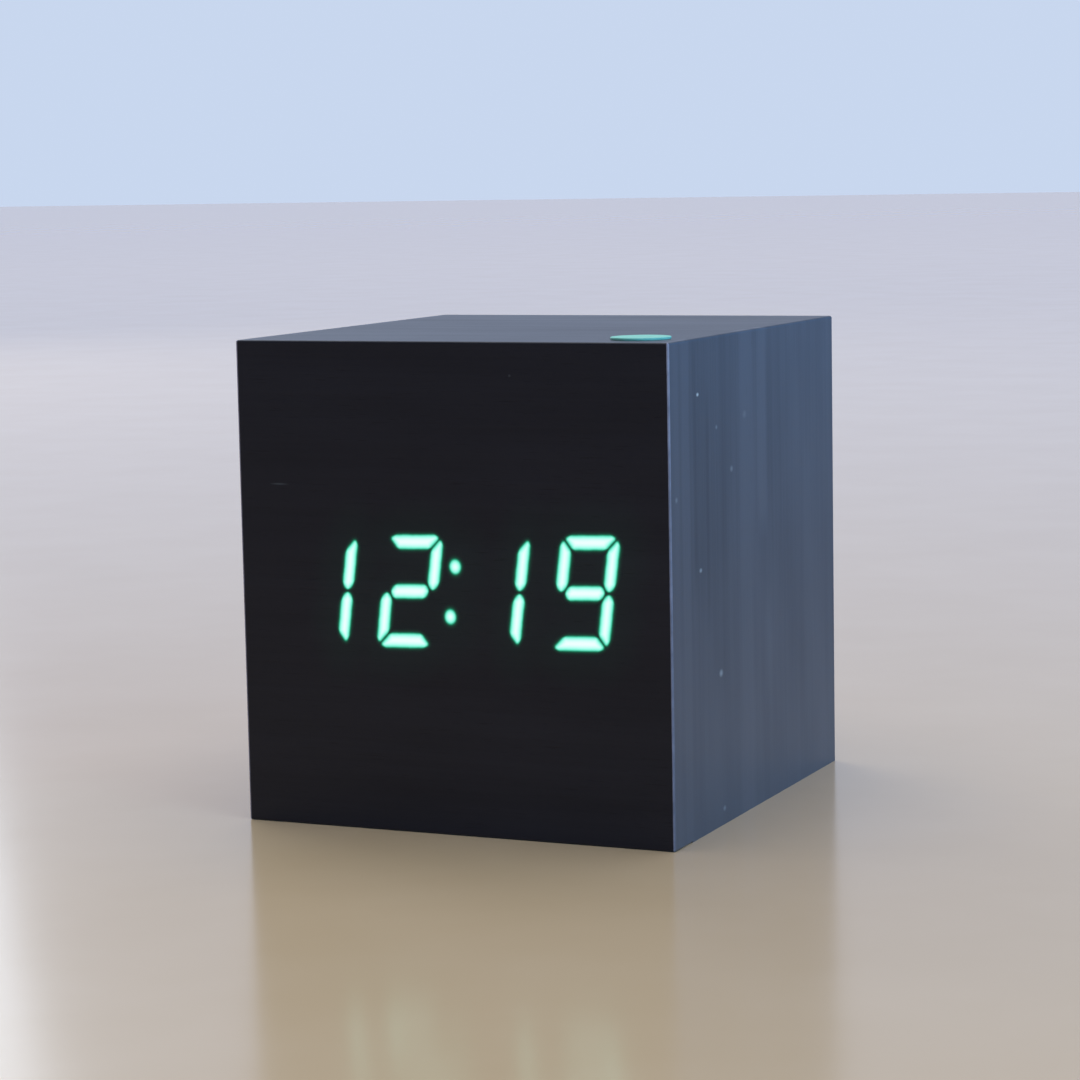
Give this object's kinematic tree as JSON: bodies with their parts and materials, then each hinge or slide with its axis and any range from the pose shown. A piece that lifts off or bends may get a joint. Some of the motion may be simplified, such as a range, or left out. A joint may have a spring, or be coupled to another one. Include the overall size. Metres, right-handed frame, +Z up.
{
  "type": "cube alarm clock",
  "caption": "Cube desk alarm clock: black wood-grain case, glowing green digits in the front, rear chassis with battery door, keys and power inlet.",
  "frame": {"origin": "centre of the base, on the surface it stands on", "axes": "+Z up, -Y is the display face, +X the right side as seen from the front"},
  "size_m": [0.06, 0.062, 0.0633],
  "materials": {
    "film": "black wood-grain PVC film, semi-gloss, with fine grain",
    "lit_segment": "film lit from behind by green diodes",
    "fibreboard": "medium-density fibreboard, dark sawn faces",
    "pine": "planed softwood",
    "label": "plain green round sticker, satin",
    "diffuser": "milky translucent sheet",
    "white_plastic": "white moulded plastic",
    "led": "small green diodes",
    "circuit_board": "green solder mask",
    "chip_plastic": "black moulding compound",
    "tinned_metal": "tinned metal",
    "screw_steel": "zinc-plated steel",
    "black_screw": "black-oxide steel",
    "capacitor_sleeve": "dark blue shrink sleeve",
    "ribbon_grey": "grey PVC insulation",
    "socket_plastic": "black socket moulding",
    "brass": "brass contact pin",
    "chassis_plastic": "black ABS with a fine moulded texture",
    "door_plastic": "black ABS with a fine moulded texture",
    "key_plastic": "dark grey ABS, satin",
    "plunger_plastic": "black nylon",
    "cell_sleeve": "plain printed sleeve of a dry cell, metal ends",
    "contact_nickel": "nickel-plated spring steel",
    "red_wire": "red PVC insulation",
    "black_wire": "black PVC insulation"
  },
  "bodies": {
    "root": {"front_film": "film", "wrap_film": "film", "bottom_film": "film", "dark_windows": "film", "lit_windows": "lit_segment", "front_board": "fibreboard", "top_board": "fibreboard", "bottom_board": "fibreboard", "left_board": "fibreboard", "right_board": "fibreboard", "corner_blocks": "pine", "top_label": "label", "diffuser_sheet": "diffuser", "segment_reflector": "white_plastic", "display_header": "white_plastic", "control_header": "white_plastic", "display_leds": "led", "display_pcb": "circuit_board", "control_pcb": "circuit_board", "clock_chip": "chip_plastic", "driver_chip": "chip_plastic", "switch_bodies": "chip_plastic", "smd_parts": "chip_plastic", "buzzer": "chip_plastic", "thermistor": "chip_plastic", "chip_leads": "tinned_metal", "crystal": "tinned_metal", "microphone": "tinned_metal", "display_screws": "screw_steel", "control_screws": "screw_steel", "chassis_screws": "black_screw", "capacitors": "capacitor_sleeve", "ribbon_cable": "ribbon_grey", "dc_socket": "socket_plastic", "dc_pin": "brass", "rear_chassis": "chassis_plastic", "battery_tray": "chassis_plastic", "cell_top": "cell_sleeve", "cell_middle": "cell_sleeve", "cell_bottom": "cell_sleeve", "positive_terminal": "contact_nickel", "negative_terminal": "contact_nickel", "left_link": "contact_nickel", "right_link": "contact_nickel", "contact_springs": "contact_nickel", "positive_lead": "red_wire", "negative_lead": "black_wire"},
    "battery_door": {"battery_door": "door_plastic"},
    "set_key": {"set_button": "key_plastic", "set_plunger": "plunger_plastic"},
    "up_key": {"up_button": "key_plastic", "up_plunger": "plunger_plastic"},
    "down_key": {"down_button": "key_plastic", "down_plunger": "plunger_plastic"}
  },
  "joints": [
    {"name": "battery_door_hinge", "type": "hinge", "parent": "root", "child": "battery_door", "pos_m": [0, 0.02975, 0.012], "axis": [-1, 0, 0], "range_deg": [0, 95]},
    {"name": "set_press", "type": "slide", "parent": "root", "child": "set_key", "axis": [0, -1, 0], "range_m": [0, 0.0003], "stiffness_N_per_m": 3000},
    {"name": "up_press", "type": "slide", "parent": "root", "child": "up_key", "axis": [0, -1, 0], "range_m": [0, 0.0003], "stiffness_N_per_m": 3000},
    {"name": "down_press", "type": "slide", "parent": "root", "child": "down_key", "axis": [0, -1, 0], "range_m": [0, 0.0003], "stiffness_N_per_m": 3000}
  ]
}
